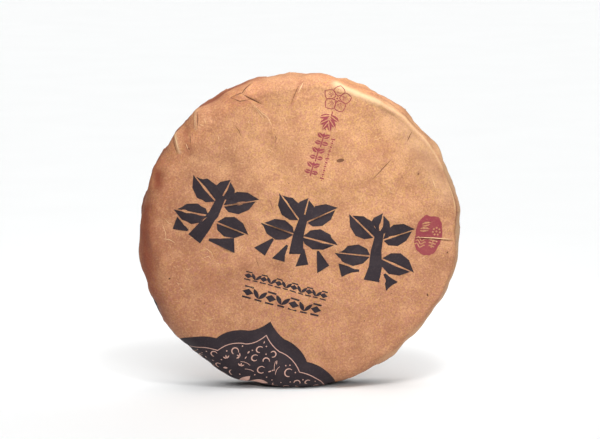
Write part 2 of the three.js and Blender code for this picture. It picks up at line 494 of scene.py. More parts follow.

# %% [markdown]
# Tones are painted on the sheet. Crests are painted pale, partly as rubbed wear and partly as a painted
# highlight of their sheen, and the edge at the right gets a painted highlight too. Dents, folds and laps,
# soft hollows of the face, the left shoulder and the edge that turns to the back at the left get painted
# shade, darker and redder. The sheet is also painted darker towards its lower left, as shade; away from its
# upper middle it is a little pinker, and the left shoulder is more orange. All are kept as numbers on the
# points of the mesh, the first two worked out from lines like those of the relief, for the finish to read.

# %% Crests painted pale, hollows painted with shade
# Crests painted pale: partly rubbed wear, partly a painted highlight of the sheen they catch.
CREST_SHEEN_AND_RUB = [  # start, end, strength, width
    ((12.0, 49.8), (18.6, 46.6), 0.70, 1.60),
    ((18.6, 46.6), (25.4, 43.2), 0.60, 1.30),
    ((25.4, 43.2), (34.2, 38.6), 0.45, 0.85),
    ((34.2, 38.6), (39.0, 33.2), 0.45, 0.75),
    ((39.0, 33.2), (46.6, 21.2), 0.45, 0.60),
    ((46.6, 21.2), (50.6, 8.0), 0.20, 0.40),
    ((-42.4, 35.4), (-39.9, 27.6), 0.45, 0.50),
    ((-34.8, 42.0), (-34.2, 34.8), 0.25, 0.45),
    ((30.0, 42.0), (48.0, 14.0), 0.20, 5.0),
]
# Painted shade in dents, folds and laps, on the left shoulder and in soft hollows of the face.
SHADE_LINES = [
    ((-47.8, 20.6), (-46.8, 17.0), 0.80, 2.2),
    ((36.7, 26.4), (46.2, 19.2), 0.46, 2.0),
    ((-38.4, 35.0), (-36.6, 27.0), 0.36, 1.2),
    ((0.2, 51.7), (-3.4, 42.6), 0.30, 0.7),
    ((-49.6, 24.0), (-52.0, 8.0), 0.45, 3.2),
    ((-52.0, 8.0), (-50.6, -14.0), 0.78, 4.2),
    ((-50.6, -14.0), (-45.6, -27.0), 0.62, 3.6),
    ((24.0, 48.0), (36.0, 40.6), 0.20, 0.9),
    ((27.0, 40.4), (35.0, 35.6), 0.18, 1.6),
    ((20.0, 26.0), (34.0, 30.0), 0.14, 3.0),
    ((-30.0, -14.0), (-18.0, -12.0), 0.14, 4.0),
    ((30.0, -32.0), (34.0, -24.0), 0.12, 3.5),
]
SHADED_TURN_EDGE = (95, 225)  # angles between which the edge that turns to the back is painted dark, as shade
HIGHLIT_EDGE = (-62, 40)  # angles between which that edge is painted pale, as a highlight
WARM_EDGE = (96, 205)  # angles between which the shoulder is more orange
WARM_RIM = (42, 88)  # the same beyond the long ridge


def marked(lines, x, z):
    strength = np.zeros_like(x)
    for start, end, most, width in lines:
        strength = np.maximum(strength, most * np.exp(-((away(x, z, start, end) / width) ** 2)))
    return strength


flat_x, flat_z = polar(grid_angle, flat_radius(grid_along, grid_angle))
signed_angle = np.mod(grid_angle + 90, 360) - 90


def between_angles(ends, fade):
    return smooth((signed_angle - ends[0]) / fade) * smooth((ends[1] - signed_angle) / fade)


def edge_tone(ends, fade, first, strength, last=3.6):
    """A tone that starts at one place along the section and is gone at another."""
    across = smooth((grid_along - first) / 0.3) * smooth(last - grid_along)
    return strength * between_angles(ends, fade) * across


# Painted shade on the edge that turns to the back, at the upper left and the left.
shaded_turn_edge = edge_tone(SHADED_TURN_EDGE, fade=20, first=1.85, strength=0.75)
# A painted highlight along the right edge, where it turns to the back.
highlit_edge = edge_tone(HIGHLIT_EDGE, fade=12, first=1.3, strength=0.32)
warm_shoulder = edge_tone(WARM_EDGE, fade=16, first=0.84, strength=0.6, last=3.0)
warm_rim = edge_tone(WARM_RIM, fade=10, first=1.1, strength=0.4, last=3.0)
low_left_shade_depth = -17 - flat_x - 0.9 * np.clip(flat_z, 0, None)  # millimetres into the painted shade towards the lower left
pink_reach = np.hypot(0.8 * (flat_x - 14), 0.9 * (flat_z - 28)) - 16  # and out of the pale middle
tones = {
    "sheen_and_rub": np.maximum(marked(CREST_SHEEN_AND_RUB, flat_x, flat_z), highlit_edge),
    "painted_shade": np.maximum(marked(SHADE_LINES, flat_x, flat_z), shaded_turn_edge),
    "low_left_shade": smooth(low_left_shade_depth / 28),
    "pinkish": smooth(pink_reach / 34),
    "warmed": warm_shoulder + warm_rim,
}
for name, strength in tones.items():
    strength = np.append(strength.ravel(), [strength[0].mean(), strength[-1].mean()])
    wrap.data.attributes.new(name, "FLOAT", "POINT").data.foreach_set("value", strength)
    print(name, "covers", round(100 * float((strength > 0.1).mean())), "per cent of the points")

# %% [markdown]
# The print was laid out on the flat sheet, so it is drawn flat too: a right-hand and an upward
# measure from the middle of the face, turned clockwise as the photograph shows it. Each inked
# shape is an outline, and the marks left open inside it are outlines as well. A triangulation that
# keeps every outline as edges is then bent onto the paper by the sheet's own function, so
# edges stay as crisp as a printer's plate leaves them.

# %% From the layout to the paper
PRINT_TURN = -16.4  # degrees


def turned(points, angle):
    cosine, sine = math.cos(math.radians(angle)), math.sin(math.radians(angle))
    return np.asarray(points, float) @ np.array([[cosine, sine], [-sine, cosine]])


def on_paper(flat, lift):
    """Points of the flat sheet, bent onto the cake."""
    angle = np.degrees(np.arctan2(flat[:, 1], flat[:, 0]))
    distance = np.hypot(flat[:, 0], flat[:, 1])
    along = np.zeros_like(distance)
    for length in stretch_lengths(shoulder_width(angle)):
        share = np.clip(distance / length, 0, 1)
        along = along + share
        distance = distance - share * length
    return stand(sheet(along, angle, lift))


# %% Cutting outlines into triangles
INK_GRID = 0.8  # how far apart the points within a shape are


def inside(points, outline_points):
    """Which points lie within a closed outline."""
    x, y = points[:, :1], points[:, 1:]
    ax, ay = outline_points.T
    bx, by = np.roll(outline_points, -1, axis=0).T
    crosses = (ay > y) != (by > y)
    rise = np.where(by == ay, 1e-9, by - ay)
    return np.sum(crosses & (x < ax + (y - ay) * (bx - ax) / rise), axis=1) % 2 == 1


def covered(points, solids, gaps):
    shown = np.any([inside(points, solid) for solid in solids], axis=0)
    for gap in gaps:
        shown &= ~inside(points, gap)
    return shown


def lattice(outlines):
    low = np.min([o.min(axis=0) for o in outlines], axis=0)
    high = np.max([o.max(axis=0) for o in outlines], axis=0)
    columns = np.arange(low[0], high[0], INK_GRID)
    rows = np.arange(low[1], high[1], INK_GRID)
    return np.stack(np.meshgrid(columns, rows), axis=-1).reshape(-1, 2) + 0.37 * INK_GRID


def triangulated(solids, gaps):
    loops = solids + gaps
    points, edges = [], []
    for loop in loops:
        first = len(points)
        points += loop.tolist()
        edges += [(first + i, first + (i + 1) % len(loop)) for i in range(len(loop))]
    middle = lattice(solids)
    points += middle[covered(middle, solids, gaps)].tolist()
    found = delaunay_2d_cdt([Vector(p) for p in points], edges, [], 0, 1e-5)
    corners = np.array([tuple(v) for v in found[0]])
    faces = np.array(found[2])
    return corners, faces[covered(corners[faces].mean(axis=1), solids, gaps)]


# %% Inking
def ink(name, solids, gaps=(), turn=PRINT_TURN, lift=INK_LIFT):
    """A skin of ink on the paper, from outlines on the flat layout."""
    solids = [turned(s, turn) for s in solids]
    gaps = [turned(g, turn) for g in gaps]
    corners, faces = triangulated(solids, gaps)
    used, faces = np.unique(faces, return_inverse=True)
    piece = new_piece(name, on_paper(corners[used], lift), faces.reshape(-1, 3))
    print(name, "has", len(piece.data.polygons), "triangles")
    return piece


# %% [markdown]
# A few kinds of outline are enough for the whole print. Here are three that all of it shares: an
# arc that bulges between two points, a stroke of changing width along a path, and a dot. Arcs join
# into longer outlines, as a designer would draw them, and any outline can be turned, sized and put
# in its place.

# %% Outline helpers
def arc(start, end, bulge, step=0.5):
    """Points from start towards end, leaving the end out, on an arc that stands bulge to the left."""
    start, end = np.array(start, float), np.array(end, float)
    span = end - start
    count = max(int(np.hypot(*span) / step), 2)
    share = np.arange(count) / count
    left = np.array([-span[1], span[0]]) / np.hypot(*span)
    return start + share[:, None] * span + (4 * bulge * share * (1 - share))[:, None] * left


def stroke(path, widths):
    """A closed outline round a path, as wide at each point as widths says."""
    path = np.asarray(path, float)
    run = np.gradient(path, axis=0)
    run /= np.hypot(run[:, 0], run[:, 1])[:, None]
    side = np.stack([-run[:, 1], run[:, 0]], axis=1) * np.asarray(widths, float)[:, None] / 2
    return np.concatenate([path + side, (path - side)[::-1]])


def dot(at, radius, points=10):
    angles = 2 * np.pi * np.arange(points) / points
    return np.array(at) + radius * np.stack([np.cos(angles), np.sin(angles)], axis=1)


def placed(points, at, turn=0.0, size=1.0):
    return turned(np.asarray(points) * size, turn) + np.array(at)


# %% [markdown]
# At the foot of the face the wrap carries a traditional lotus medallion in blue-black, of which
# the upper half shows before it bends round the rim. Its border is a row of ogee arches: a
# pointed one in the middle, and round ones beside it. The same border at nine tenths of the size
# is left open as a thin line, and scrolls, petals, dots and sprays are left open within it. They
# are filled with a paler, greyer tone than the bare paper has, as the photograph shows them. Over
# the rim at the lower left shows the tip of the next medallion.

# %% The medallion's border
MEDALLION_AXIS = -1.4
PRINT_EDGE = 66.0  # the print ends here, measured over the paper, behind the back edge
INSET = 0.9
INSET_FROM = np.array([MEDALLION_AXIS, -78.0])  # the border is drawn in towards this point
INSET_LINE = 0.24
HALF_BORDER = [  # corners of the right half, from its point, and the bulge of the arc after each
    ((0.0, -30.2), -0.55),
    ((6.3, -34.9), 1.15),
    ((15.4, -40.1), 2.6),
    ((28.9, -48.4), -1.6),
    ((45.8, -35.6), 0.0),
]


def mirrored(points):
    return (np.asarray(points) * [-1, 1])[::-1]


def border_line():
    right = []
    for (start, bulge), (end, _) in zip(HALF_BORDER, HALF_BORDER[1:]):
        right.append(arc(start, end, bulge))
    right = np.concatenate(right + [[HALF_BORDER[-1][0]]])
    return np.concatenate([mirrored(right)[:-1], right]) + [MEDALLION_AXIS, 0]


def medallion_ground():
    top = border_line()
    first = math.atan2(top[0][1], top[0][0])
    last = math.atan2(top[-1][1], top[-1][0])
    turn = np.linspace(last, first, 110)
    foot = PRINT_EDGE * np.stack([np.cos(turn), np.sin(turn)], axis=1)
    return np.concatenate([top, foot])


# %% The medallion's open marks
SCROLLS = [  # place, size, where the curl starts and how far it sweeps, in degrees
    (-9.8, -42.6, 1.25, 0, 255), (-2.2, -40.0, 1.15, 50, 240), (2.4, -40.4, 1.05, -95, 255),
    (-2.9, -43.0, 1.15, 55, 270), (0.8, -43.2, 1.15, 5, 205), (0.2, -46.6, 1.35, 55, 275),
    (9.1, -45.1, 1.45, 60, 240), (12.8, -48.0, 1.15, -5, 205), (16.3, -47.0, 1.0, 60, 220),
    (-16.1, -45.6, 1.1, 35, 250), (-8.2, -50.2, 1.4, 130, 130), (6.4, -51.0, 1.1, 150, 190),
    (-13.6, -49.6, 1.1, 60, 230), (20.2, -49.4, 0.9, 30, 220), (-20.4, -49.6, 0.9, 60, 230),
    (10.2, -51.4, 1.0, 20, 230),
]
DOTS = [
    (-7.9, -40.2), (0.2, -41.0), (-0.4, -38.5), (-12.4, -43.3), (-18.7, -45.7), (-20.1, -47.4),
    (-21.8, -46.6), (-6.0, -49.8), (-1.3, -48.9), (7.7, -49.2), (10.6, -48.2), (14.4, -46.3), (11.2, -44.4),
    (7.5, -43.0), (8.8, -42.5), (-13.2, -46.6), (-4.4, -40.6), (4.6, -49.2), (18.8, -46.4), (2.6, -48.6),
]
DROPS = [  # place, turn, length and width
    (-5.2, -41.0, 160, 1.1, 0.5), (-5.6, -43.0, 160, 1.0, 0.35), (-1.4, -36.9, 175, 0.9, 0.35),
    (-10.4, -48.9, 118, 1.7, 0.75), (2.5, -46.6, -55, 1.2, 0.4), (3.5, -45.9, -50, 0.9, 0.35),
    (4.2, -42.0, 190, 1.6, 0.3), (-18.0, -49.2, 60, 1.2, 0.4), (-15.4, -48.4, 100, 1.0, 0.35),
]
SPRAYS = [(-11.7, -45.7, 30), (-6.6, -46.8, 0), (-7.6, -43.8, 75), (13.4, -51.0, -40)]  # place and turn
RIBS = [  # thin arcs that run round the flower: start, end and bulge
    ((3.9, -42.4), (4.6, -46.0), -0.3), ((5.7, -43.8), (5.2, -47.2), -0.5),
    ((-7.0, -45.2), (-3.4, -46.0), 0.5), ((-5.0, -47.4), (-1.6, -47.9), 0.4),
]
PETALS = [  # foot, turn, length and width
    ((-5.4, -54.3), -31, 5.4, 2.5), ((-2.2, -52.6), -78, 6.2, 2.5),
    ((-7.4, -55.6), 62, 5.6, 2.4), ((-2.8, -56.4), -106, 6.0, 2.6),
]


def scroll(x, y, size, start, sweep):
    """A curl, thick in the middle and fine at its ends, that draws in as it turns."""
    angles = np.radians(np.linspace(start, start + sweep, 24))
    reach = size * np.linspace(1.0, 0.78, 24)
    path = np.stack([x + reach * np.cos(angles), y + reach * np.sin(angles)], axis=1)
    return stroke(path, mix(0.12, 0.37, np.sin(np.linspace(0.15, 2.8, 24))))


def petal(length, width, step=0.5):
    half = arc((0, 0), (0, length), -width / 2, step)
    return np.concatenate([half, arc((0, length), (0, 0), -width / 2, step)])


def spray(x, y, turn):
    """Three small leaves on one foot."""
    leaves = [placed(petal(1.2, 0.42, 0.3), (0.12 * side, 0.1), -50 * side) for side in (-1, 0, 1)]
    return [placed(leaf, (x, y), turn) for leaf in leaves]


NEXT_TIP = [(-28.6, -49.4), (-30.0, -46.6), (-31.4, -43.8), (-32.4, -46.0), (-35.0, -46.8), (-33.0, -49.8)]


def medallion_marks():
    """The thin marks: the inset line, scrolls, dots, drops, ribs and sprays."""
    line = INSET_FROM + INSET * (border_line() - INSET_FROM)
    marks = [stroke(line, np.full(len(line), INSET_LINE))]
    marks += [scroll(*place) for place in SCROLLS]
    marks += [dot(at, 0.22, 8) for at in DOTS]
    marks += [placed(petal(length, width, 0.3), (x, y), turn) for x, y, turn, length, width in DROPS]
    for start, end, bulge in RIBS:
        path = arc(start, end, bulge, 0.4)
        marks.append(stroke(path, np.full(len(path), 0.16)))
    for place in SPRAYS:
        marks += spray(*place)
    return marks + [placed(petal(length, width), at, turn) for at, turn, length, width in PETALS]


medallion_open = medallion_marks()
medallion_piece = ink("medallion_print", [medallion_ground(), NEXT_TIP], medallion_open)
medallion_lines = ink("medallion_lines", medallion_open)

# %% [markdown]
# Across the middle stand three bold ornaments of blue-black tea sprigs. They are cut like a
# woodblock: leaves with straight facets and a sharp tip, split along the midrib by a sliver of
# bare paper, on a stem that flares at the foot. One function makes a leaf, another a sprig, and
# each sprig has its own list of leaves, so that no two are alike.

# %% Leaves and sprigs
def cut_leaf(at, turn, length, width, vein=0.5):
    """The two halves of a leaf, with a bare vein between them."""
    upper = [(0.0, vein / 2), (0.16 * length, 0.36 * width), (0.42 * length, 0.52 * width),
             (0.72 * length, 0.40 * width), (length, vein * 0.1), (0.8 * length, vein * 0.25)]
    lower = [(0.9 * length, -vein * 0.45), (0.66 * length, -0.36 * width), (0.36 * length, -0.46 * width),
             (0.1 * length, -0.30 * width), (0.0, -vein / 2)]
    return [placed(upper, at, turn), placed(lower, at, turn)]


def sprig(name, at, stem_path, leaves, wedges=()):
    solids = [placed(stroke(stem_path, np.linspace(5.0, 2.6, len(stem_path))), at)]
    for x, y, turn, length, width in leaves:
        solids += [placed(half, at) for half in cut_leaf((x, y), turn, length, width)]
    for x, y, turn, length, width in wedges:
        wedge = [(0, -0.10 * width), (length, -width / 2), (length * 0.84, width / 2), (0, 0.06 * width)]
        solids.append(placed(placed(wedge, (x, y), turn), at))
    return ink(name, solids)


# %% The three ornaments
# Each sprig: its name and place, the path of its stem, then its leaves and the wedges at its foot,
# each with its place, turn, length and width
sprig_left = sprig(
    "left_sprig_print", (-29.2, -0.2),
    [(-3.8, -10.6), (-2.0, -6.0), (-0.2, -1.0), (0.8, 5.6)],
    [
        (0.8, 4.4, 80, 7.0, 7.2), (-0.8, 3.2, 146, 11.4, 7.6), (2.2, 2.4, 26, 11.8, 7.6),
        (-1.8, -2.0, 186, 11.4, 7.2), (1.6, -3.4, -6, 11.2, 7.4),
    ],
    [(0.8, -9.4, 2, 9.4, 4.6), (-6.6, -8.6, 166, 5.4, 4.2)],
)
sprig_middle = sprig(
    "middle_sprig_print", (-0.8, 1.0),
    [(1.2, -7.4), (0.6, -5.0), (0.0, -1.0), (0.1, 5.8)],
    [
        (0.1, 4.6, 92, 6.8, 6.6), (-1.2, 3.6, 142, 11.0, 7.0), (1.5, 3.6, 40, 11.0, 7.0),
        (-1.5, -1.4, 176, 11.6, 7.2), (1.5, -1.4, 2, 11.6, 7.2),
    ],
    [
        (-7.4, -4.8, 238, 6.4, 4.4), (-2.4, -5.4, 254, 6.2, 4.2),
        (3.0, -5.2, 280, 6.0, 4.2), (7.8, -4.6, 302, 7.0, 4.6),
    ],
)
sprig_right = sprig(
    "right_sprig_print", (25.2, 2.6),
    [(1.6, -11.0), (1.0, -6.0), (-0.4, -1.0), (-1.1, 5.6)],
    [
        (-1.1, 4.4, 96, 7.0, 6.8), (-2.4, 3.0, 152, 11.0, 7.2), (0.8, 3.0, 34, 10.8, 7.4),
        (-1.8, -3.2, 190, 11.4, 7.4), (2.2, -3.0, -8, 11.4, 7.8),
    ],
    [(-3.4, -8.8, 196, 6.6, 4.6), (4.6, -7.4, -42, 5.8, 4.6)],
)

# %% [markdown]
# Under the sprigs run two narrow border lines of small lozenges and bars. Such rows are made by a
# loop: the same few strokes step along the line and change with the count.

# %% Border rows
def lozenge(at, wide, high, turn=0.0):
    return placed([(-wide / 2, 0), (0, -high / 2), (wide / 2, 0), (0, high / 2)], at, turn)


def bar(at, wide, high, turn=0.0):
    corners = np.array([(-1, -1), (1, -1), (1, 1), (-1, 1)]) / 2
    return placed(corners * [wide, high], at, turn)


def border_row(name, middle, pitch, count, size):
    """Lozenges with short bars above and below, and between them a leaf pair over a dot."""
    solids = []
    for step in range(count):
        at = np.array([middle[0] + (step - (count - 1) / 2) * pitch, middle[1]])
        if step % 2 == 0:
            solids.append(lozenge(at, 0.95 * size, 0.62 * size))
            solids += [bar(at + [0, side * 0.46 * size], 0.74 * size, 0.15 * size) for side in (-1, 1)]
        else:
            leaf = petal(0.95 * size, 0.36 * size, 0.4)
            solids += [placed(leaf, at - [0, 0.35 * size], -38 * side) for side in (-1, 1)]
            solids.append(bar(at - [0, 0.46 * size], 0.6 * size, 0.14 * size))
    return ink(name, solids)


row_upper = border_row("upper_border_print", (0.2, -17.3), 2.55, 11, 2.8)
row_lower = border_row("lower_border_print", (0.3, -22.6), 3.85, 7, 3.9)

# %% [markdown]
# The plum red print is a second colour: a tea flower in line over a bunch of leaves near the top, a
# garland that hangs from it, and a stamp at the right with open marks. The stamp's outline is a
# worn oblong with a notch at its top, made from a rounded box by a formula.

# %% The stamp
STAMP_AT = (39.7, 11.0)
STAMP_HALF = (4.25, 6.5)
STAMP_LEAN = 9
STAMP_POINTS = 72


def stamp_outline():
    angles = 2 * np.pi * np.arange(STAMP_POINTS) / STAMP_POINTS
    square = 2.7  # two would be an ellipse, and more is squarer
    reach = (np.abs(np.cos(angles)) ** square + np.abs(np.sin(angles)) ** square) ** (-1 / square)
    worn = 1 + 0.016 * np.sin(7 * angles + 1) + 0.012 * np.sin(13 * angles)
    worn = worn + 0.010 * np.sin(19 * angles + 2)
    notch = 1 - 0.07 * np.exp(-(((angles - 0.52 * np.pi) / 0.12) ** 2))
    notch = notch - 0.12 * np.exp(-(((angles - 1.78 * np.pi) / 0.35) ** 2))
    x = reach * np.cos(angles) * STAMP_HALF[0]
    y = reach * np.sin(angles) * STAMP_HALF[1]
    return placed(np.stack([x, y], axis=1) * (worn * notch)[:, None], (0, 0), STAMP_LEAN)


def stamp_marks():
    """Open marks in two rows: a pair of leaves, a ring of dots, waves and bars."""
    gaps = cut_leaf((-3.3, 0.9), 20, 3.4, 1.7, 0.4) + cut_leaf((-3.1, 2.5), 30, 3.2, 1.6, 0.4)
    ring = np.arange(7) * 2 * math.pi / 7
    gaps += [dot((2.0 + 1.15 * math.cos(a), 1.9 + 1.15 * math.sin(a)), 0.34, 7) for a in ring]
    gaps.append(dot((2.0, 1.9), 0.36, 8))
    wave = np.linspace(0, 2.6 * np.pi, 22)
    path = np.stack([-3.4 + 3.2 * wave / wave[-1], -1.9 + 0.5 * np.sin(wave)], axis=1)
    gaps += [stroke(path - [0, 1.05 * step], np.full(22, 0.36)) for step in range(3)]
    gaps += [bar((1.9, -1.2 - 0.95 * step), 2.8 - 0.5 * step, 0.42) for step in range(3)]
    gaps.append(bar((1.9, -2.2), 0.34, 3.0))
    return gaps


stamp_gaps = [placed(gap, STAMP_AT) for gap in stamp_marks()]
stamp = ink("stamp_print", [placed(stamp_outline(), STAMP_AT)], stamp_gaps)

# %% The flower and the garland
BLOSSOM_AT = (-1.2, 46.2)
BLOSSOM_LINE = 0.27


def blossom():
    """Five petals in line with fine ribs, a ring of stamens, and solid leaves close below."""
    solids = []
    for turn in range(0, 360, 72):
        edge = placed(petal(3.9, 3.7), placed([(0, 0.8)], BLOSSOM_AT, turn)[0], turn)
        solids.append(stroke(np.concatenate([edge, edge[:1]]), np.full(len(edge) + 1, BLOSSOM_LINE)))
        for lean in (-16, -6, 6, 16):
            foot, tip = placed([(0, 1.8), (0, 3.6 - 0.004 * lean**2)], BLOSSOM_AT, turn + lean)
            solids.append(stroke([foot, tip], [0.22, 0.12]))
    solids += [dot(placed([(0, 0.85)], BLOSSOM_AT, turn)[0], 0.24, 6) for turn in range(0, 360, 60)]
    solids.append(dot(BLOSSOM_AT, 0.32, 8))
    solids.append(bar((BLOSSOM_AT[0] - 0.2, BLOSSOM_AT[1] - 5.3), 0.4, 1.6))
    for side in (-1, 1):
        at = np.array([BLOSSOM_AT[0] - 0.6 + 0.15 * side, BLOSSOM_AT[1] - 6.0])
        for drop, spread, length in ((0, 112, 3.5), (1.2, 132, 3.6), (2.4, 156, 3.0)):
            solids += cut_leaf(at - [0, drop], 90 - side * spread, length, length / 2, 0.34)
    return ink("blossom_print", solids)


def garland():
    """A hanging line of buds between leaves, and beside it a finer line of dashes."""
    solids = []
    for step in range(3):
        x, y = -2.0 - 0.3 * step, 33.0 - 5.0 * step
        for side in (-1, 1):
            solids += cut_leaf((x + 0.2 * side, y - 0.3), 90 - side * 58, 2.4, 1.6, 0.25)
            solids += cut_leaf((x + 0.2 * side, y - 2.2), 90 - side * 88, 2.2, 1.5, 0.25)
        solids.append(lozenge((x, y + 0.6), 1.1, 1.5))
        solids.append(bar((x, y - 1.8), 0.42, 3.4))
    for step in range(11):
        wide = 1.3 if step in (0, 5, 10) else 0.7
        solids.append(bar((1.3, 33.0 - 1.32 * step), wide, 0.45, 14 * (step % 2)))
        solids.append(dot((1.3, 32.35 - 1.32 * step), 0.2, 6))
    return ink("garland_print", solids)


blossom_piece = blossom()
garland_piece = garland()

# %% [markdown]
# A few marks on the paper are too thin for the mesh of the wrap: dark lines of painted shade where hairline
# creases, laps and the rim fall into shadow, pale lines on crests that are partly rubbed wear and partly
# painted highlight, loose fibres and specks of bark in the pulp. They are drawn as narrow strokes with
# pointed ends and laid on the paper in the same way as the ink.

# %% Hairlines and specks
# Painted shade: dark lines where creases, laps and the rim fall into shadow.
CREASE_SHADE_LINES = [  # points of the line, and its greatest width
    ([(-19.2, 46.6), (-16.0, 44.7), (-12.5, 42.8)], 0.42),
    ([(-23.1, 45.4), (-19.9, 44.0), (-15.9, 44.8)], 0.26),
    ([(-23.3, 45.3), (-19.1, 46.9), (-15.6, 51.8)], 0.30),
    ([(-8.7, 33.4), (-8.1, 31.8), (-8.3, 30.4)], 0.24),
    ([(0.1, 51.4), (-1.6, 47.0), (-3.4, 42.6)], 0.22),
    ([(-21.6, 36.2), (-20.2, 34.4), (-19.2, 32.0)], 0.18),
    ([(-33.9, 41.2), (-33.6, 38.2), (-33.7, 35.0)], 0.24),
    ([(-36.2, 33.0), (-35.8, 30.0)], 0.20),
    ([(29.9, 24.8), (26.6, 21.4), (22.5, 17.2)], 0.24),
    ([(36.2, 33.6), (35.2, 31.4), (34.5, 29.8)], 0.26),
    ([(36.6, -1.7), (43.0, -1.9), (49.9, -2.6)], 0.22),
    ([(23.0, 49.0), (27.2, 46.8), (34.4, 40.6), (38.6, 36.4), (44.2, 31.0)], 0.30),
    ([(-43.2, 33.2), (-41.6, 29.6), (-40.6, 26.8)], 0.20),
    ([(48.6, 18.0), (50.6, 10.0), (51.4, 2.0), (51.0, -6.0)], 0.20),
    ([(-14.4, -6.6), (-13.6, -10.2)], 0.14),
    ([(-10.4, 12.0), (-9.2, 8.6)], 0.14),
]
# Painted highlights on fold crests, partly rubbed wear.
CREST_HIGHLIGHT_AND_WEAR_LINES = [
    ([(-16.6, 44.2), (-12.7, 40.1), (-10.8, 38.7), (-8.9, 35.0)], 0.18),
    ([(-15.8, 43.0), (-13.4, 40.0), (-11.6, 37.6)], 0.12),
    ([(-26.7, 32.6), (-26.7, 31.1)], 0.20),
    ([(-42.6, 34.9), (-41.0, 31.4), (-39.9, 28.0)], 0.26),
    ([(-34.9, 41.8), (-34.5, 38.4), (-34.4, 35.0)], 0.16),
    ([(1.0, 51.4), (-0.8, 46.6)], 0.26),
    ([(42.3, 18.1), (43.5, 14.1)], 0.20),
    ([(36.6, -1.3), (43.0, -1.5), (50.2, -2.2)], 0.24),
    ([(-44.9, -0.7), (-42.6, -1.3), (-40.5, -2.5)], 0.20),
    ([(-45.4, 4.4), (-44.0, 1.0), (-43.8, -1.6)], 0.14),
    ([(-44.6, 5.8), (-43.0, 4.0), (-41.8, 3.8)], 0.14),
    ([(47.4, 19.4), (49.4, 12.0), (50.6, 4.0)], 0.26),
    ([(-31.4, 38.4), (-31.0, 36.8)], 0.20),
    ([(-33.0, 36.6), (-31.6, 36.0)], 0.16),
    ([(-37.6, 30.6), (-36.8, 28.4)], 0.20),
]
SPECKS = [  # place, half its length, half its height, turn
    ((12.9, 24.3), 1.3, 0.6, 8), ((37.9, 19.2), 0.32, 0.28, 0), ((47.2, -6.2), 0.34, 0.26, 60),
    ((32.5, 18.2), 0.22, 0.20, 0), ((-42.3, -13.9), 0.36, 0.26, 40), ((41.3, -20.2), 0.55, 0.26, 110),
    ((-36.6, 28.6), 0.26, 0.22, 0), ((21.0, -29.0), 0.26, 0.2, 20), ((-4.0, 17.0), 0.2, 0.16, 0),
    ((8.0, 34.6), 0.24, 0.16, 50), ((-31.0, -22.0), 0.22, 0.18, 0), ((30.0, -20.0), 0.2, 0.16, 0),
]


FIBRES = 110
fibre_draw = np.random.default_rng(23)


def fibres():
    """Loose pale fibres of the pulp: short, thin and a little bent."""
    lines = [
        ([(-32.6, -5.0), (-30.6, -4.3), (-28.9, -5.6), (-28.2, -7.8)], 0.14),
        ([(-31.8, -7.4), (-29.8, -6.7), (-28.8, -8.2)], 0.14),
    ]
    for _ in range(FIBRES):
        reach = 46 * math.sqrt(fibre_draw.random())
        at = polar(fibre_draw.uniform(0, 360), reach)
        start = fibre_draw.uniform(0, 360)
        length, bend = fibre_draw.uniform(0.8, 2.6), fibre_draw.uniform(-0.3, 0.3)
        path = [(-length / 2, 0), (0, bend * length), (length / 2, 0)]
        lines.append((placed(path, at, start), fibre_draw.uniform(0.07, 0.12)))
    return lines


def hairline(points, width):
    """A stroke that is widest at its middle and pointed at its ends."""
    points = np.asarray(points, float)
    steps = np.linspace(0, len(points) - 1, 6 * (len(points) - 1) + 1)
    path = np.stack([np.interp(steps, np.arange(len(points)), points[:, i]) for i in (0, 1)], axis=1)
    return stroke(path, width * np.clip(np.sin(np.pi * steps / steps[-1]), 0.08, 1))


def speck(at, half_long, half_high, turn):
    return placed(dot((0, 0), 1, 12) * [half_long, half_high], at, turn)


crease_shade_marks = ink("painted_crease_shade", [hairline(*line) for line in CREASE_SHADE_LINES], turn=0, lift=INK_LIFT + 0.03)
crest_highlight_and_wear_marks = ink("crest_highlights_and_wear", [hairline(*line) for line in CREST_HIGHLIGHT_AND_WEAR_LINES], turn=0, lift=INK_LIFT + 0.03)
loose_fibres = ink("loose_fibres", [hairline(*line) for line in fibres()], turn=0, lift=0.03)
bark_specks = ink("bark_specks", [speck(*place) for place in SPECKS], turn=0)

# %% [markdown]
# Kraft paper is made of long brown fibres, unevenly dyed by the wood. Close up it shows three scales: a
# fine felt of fibres, soft blotches a few millimetres wide, and a few dark specks of bark. The colour and a
# shallow bump both come from noise in the object's own coordinates, so they run over the folds without a
# seam. The tones that were kept on the points, among them painted shade and painted highlights, are laid
# over them, and the paper is matt all over. The inks are matt too, and thin a little where the felt stands
# up.

# %% Node helpers
def linear(red, green, blue):
    """A colour given as it looks on screen, for a shader's socket."""
    channels = []
    for value in (red, green, blue):
        value /= 255
        channels.append(value / 12.92 if value <= 0.04045 else ((value + 0.055) / 1.055) ** 2.4)
    return (*channels, 1.0)


